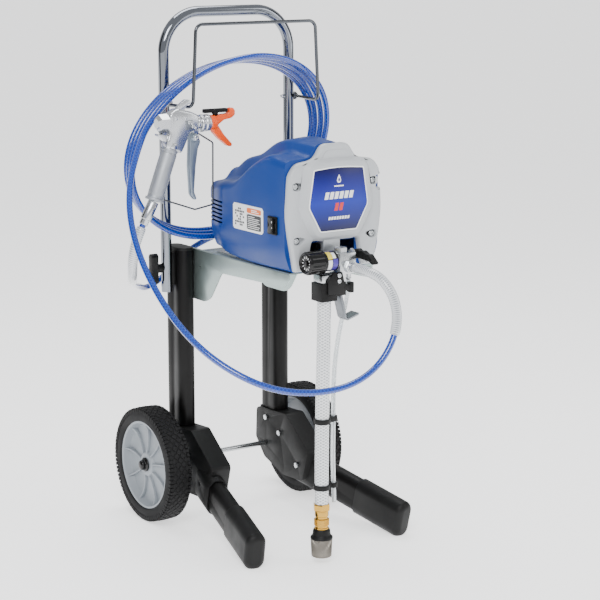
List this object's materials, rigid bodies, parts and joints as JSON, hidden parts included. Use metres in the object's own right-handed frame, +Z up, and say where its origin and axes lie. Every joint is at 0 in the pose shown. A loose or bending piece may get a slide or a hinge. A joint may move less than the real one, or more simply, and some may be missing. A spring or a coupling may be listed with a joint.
{
  "type": "airless paint sprayer",
  "caption": "Wheeled airless paint sprayer: tube stand with handle and hose rack, boxed piston pump with suction hose and strainer, looped paint hose and spray gun.",
  "frame": {"origin": "on the floor under the middle of the machine, its paint hose and suction set left out", "axes": "+Z up, front of the machine towards -Y, +X to the right seen from the front"},
  "size_m": [0.5128, 0.6181, 0.94],
  "materials": {
    "tube_black": "black powder coat, satin",
    "moulded_black": "moulded glass-filled nylon, fine grain",
    "zinc": "zinc plated",
    "chrome": "polished chrome plate",
    "wire_chrome": "bright plated wire",
    "tyre": "solid rubber, matt",
    "rim_grey": "moulded grey plastic",
    "shell_blue": "moulded ABS, semi gloss",
    "cover_grey": "moulded ABS, satin",
    "label": "printed label film",
    "steel": "bright steel",
    "die_cast": "die cast alloy, satin",
    "gloss_black": "moulded, gloss",
    "hose_blue": "clear blue jacket over braid",
    "hose_clear": "clear vinyl over white braid",
    "brass": "machined brass",
    "orange": "moulded orange plastic"
  },
  "bodies": {
    "root": {"axle": "zinc", "axle_caps": "moulded_black", "base_bolts": "zinc", "base_plate": "zinc", "cover_screws": "steel", "drain_tube": "hose_clear", "frame_bolts": "zinc", "front_cover": "cover_grey", "gear_plate": "steel", "guard_wire": "wire_chrome", "gun_body": "die_cast", "gun_grip": "die_cast", "gun_swivel": "steel", "handle_saddles": "moulded_black", "handle_tube": "chrome", "hook_holder": "moulded_black", "hose_coil": "hose_blue", "hose_coupling": "brass", "hose_lead": "hose_blue", "hose_rack": "wire_chrome", "hose_sleeves": "hose_clear", "hose_tail": "hose_blue", "housing": "shell_blue", "labels": "label", "left_elbow": "moulded_black", "left_foot_cap": "moulded_black", "left_post": "tube_black", "left_post_cap": "moulded_black", "left_skid": "tube_black", "manifold": "die_cast", "motor_can": "steel", "outlet_fitting": "steel", "pail_hook": "steel", "power_inlet": "moulded_black", "pump_cylinder": "die_cast", "rack_bolts": "wire_chrome", "right_elbow": "moulded_black", "right_foot_cap": "moulded_black", "right_post": "tube_black", "right_post_cap": "moulded_black", "right_skid": "tube_black", "shelf_bracket": "zinc", "strainer_screen": "steel", "suction_hose": "hose_clear", "tube_clips": "moulded_black"},
    "left_wheel": {"left_tyre": "tyre", "left_rim": "rim_grey"},
    "right_wheel": {"right_tyre": "tyre", "right_rim": "rim_grey"},
    "left_knob": {"left_clamp_knob": "moulded_black"},
    "right_knob": {"right_clamp_knob": "moulded_black"},
    "rocker_switch": {"rocker": "gloss_black"},
    "motor_armature": {"armature": "steel"},
    "crank_gear": {"drive_gear": "steel"},
    "piston": {"piston_rod": "steel"},
    "pressure_control": {"pressure_knob": "gloss_black"},
    "prime_valve": {"prime_lever": "moulded_black"},
    "gun_trigger": {"trigger": "die_cast"},
    "spray_guard": {"tip_guard": "orange"},
    "spray_tip": {"tip_handle": "gloss_black"}
  },
  "joints": [
    {"name": "left_wheel_spin", "type": "hinge", "parent": "root", "child": "left_wheel", "pos_m": [-0.1439, 0.1582, 0.107], "axis": [1, 0, 0], "continuous": true},
    {"name": "right_wheel_spin", "type": "hinge", "parent": "root", "child": "right_wheel", "pos_m": [0.1891, 0.1582, 0.107], "axis": [1, 0, 0], "continuous": true},
    {"name": "left_knob_turn", "type": "hinge", "parent": "root", "child": "left_knob", "pos_m": [-0.1274, 0.1532, 0.472], "axis": [1, 0, 0], "range_deg": [0, 360]},
    {"name": "right_knob_turn", "type": "hinge", "parent": "root", "child": "right_knob", "pos_m": [0.1726, 0.1532, 0.472], "axis": [1, 0, 0], "range_deg": [0, 360]},
    {"name": "power_switch", "type": "hinge", "parent": "root", "child": "rocker_switch", "pos_m": [-0.0729, -0.1468, 0.586], "axis": [0, 1, 0], "range_deg": [0, 14]},
    {"name": "armature_spin", "type": "hinge", "parent": "root", "child": "motor_armature", "pos_m": [0.0409, -0.0798, 0.59], "axis": [0, 1, 0], "continuous": true},
    {"name": "drive_gear_spin", "type": "hinge", "parent": "root", "child": "crank_gear", "pos_m": [0.0126, -0.0798, 0.63599], "axis": [0, 1, 0], "continuous": true},
    {"name": "piston_stroke", "type": "slide", "parent": "root", "child": "piston", "axis": [0, 0, 1], "range_m": [-0.004, 0.009]},
    {"name": "pressure_turn", "type": "hinge", "parent": "root", "child": "pressure_control", "pos_m": [-0.0374, -0.2118, 0.528], "axis": [1, 0, 0], "range_deg": [0, 300]},
    {"name": "prime_turn", "type": "hinge", "parent": "root", "child": "prime_valve", "pos_m": [0.0526, -0.2118, 0.536], "axis": [1, 0, 0], "range_deg": [0, 90]},
    {"name": "trigger_pull", "type": "hinge", "parent": "root", "child": "gun_trigger", "pos_m": [-0.1224, 0.0362, 0.721], "axis": [0, 1, 0], "range_deg": [0, 20], "stiffness_Nm_per_rad": 0.6, "springref_deg": -5.73},
    {"name": "guard_turn", "type": "hinge", "parent": "root", "child": "spray_guard", "pos_m": [-0.0974, 0.0362, 0.744], "axis": [1, 0, 0], "range_deg": [0, 90]},
    {"name": "tip_reverse", "type": "hinge", "parent": "spray_guard", "child": "spray_tip", "pos_m": [-0.0764, 0.0362, 0.744], "axis": [0, 0, 1], "range_deg": [0, 180]}
  ],
  "couplings": [
    {"joint": "armature_spin", "follows": "drive_gear_spin", "ratio": -5}
  ]
}
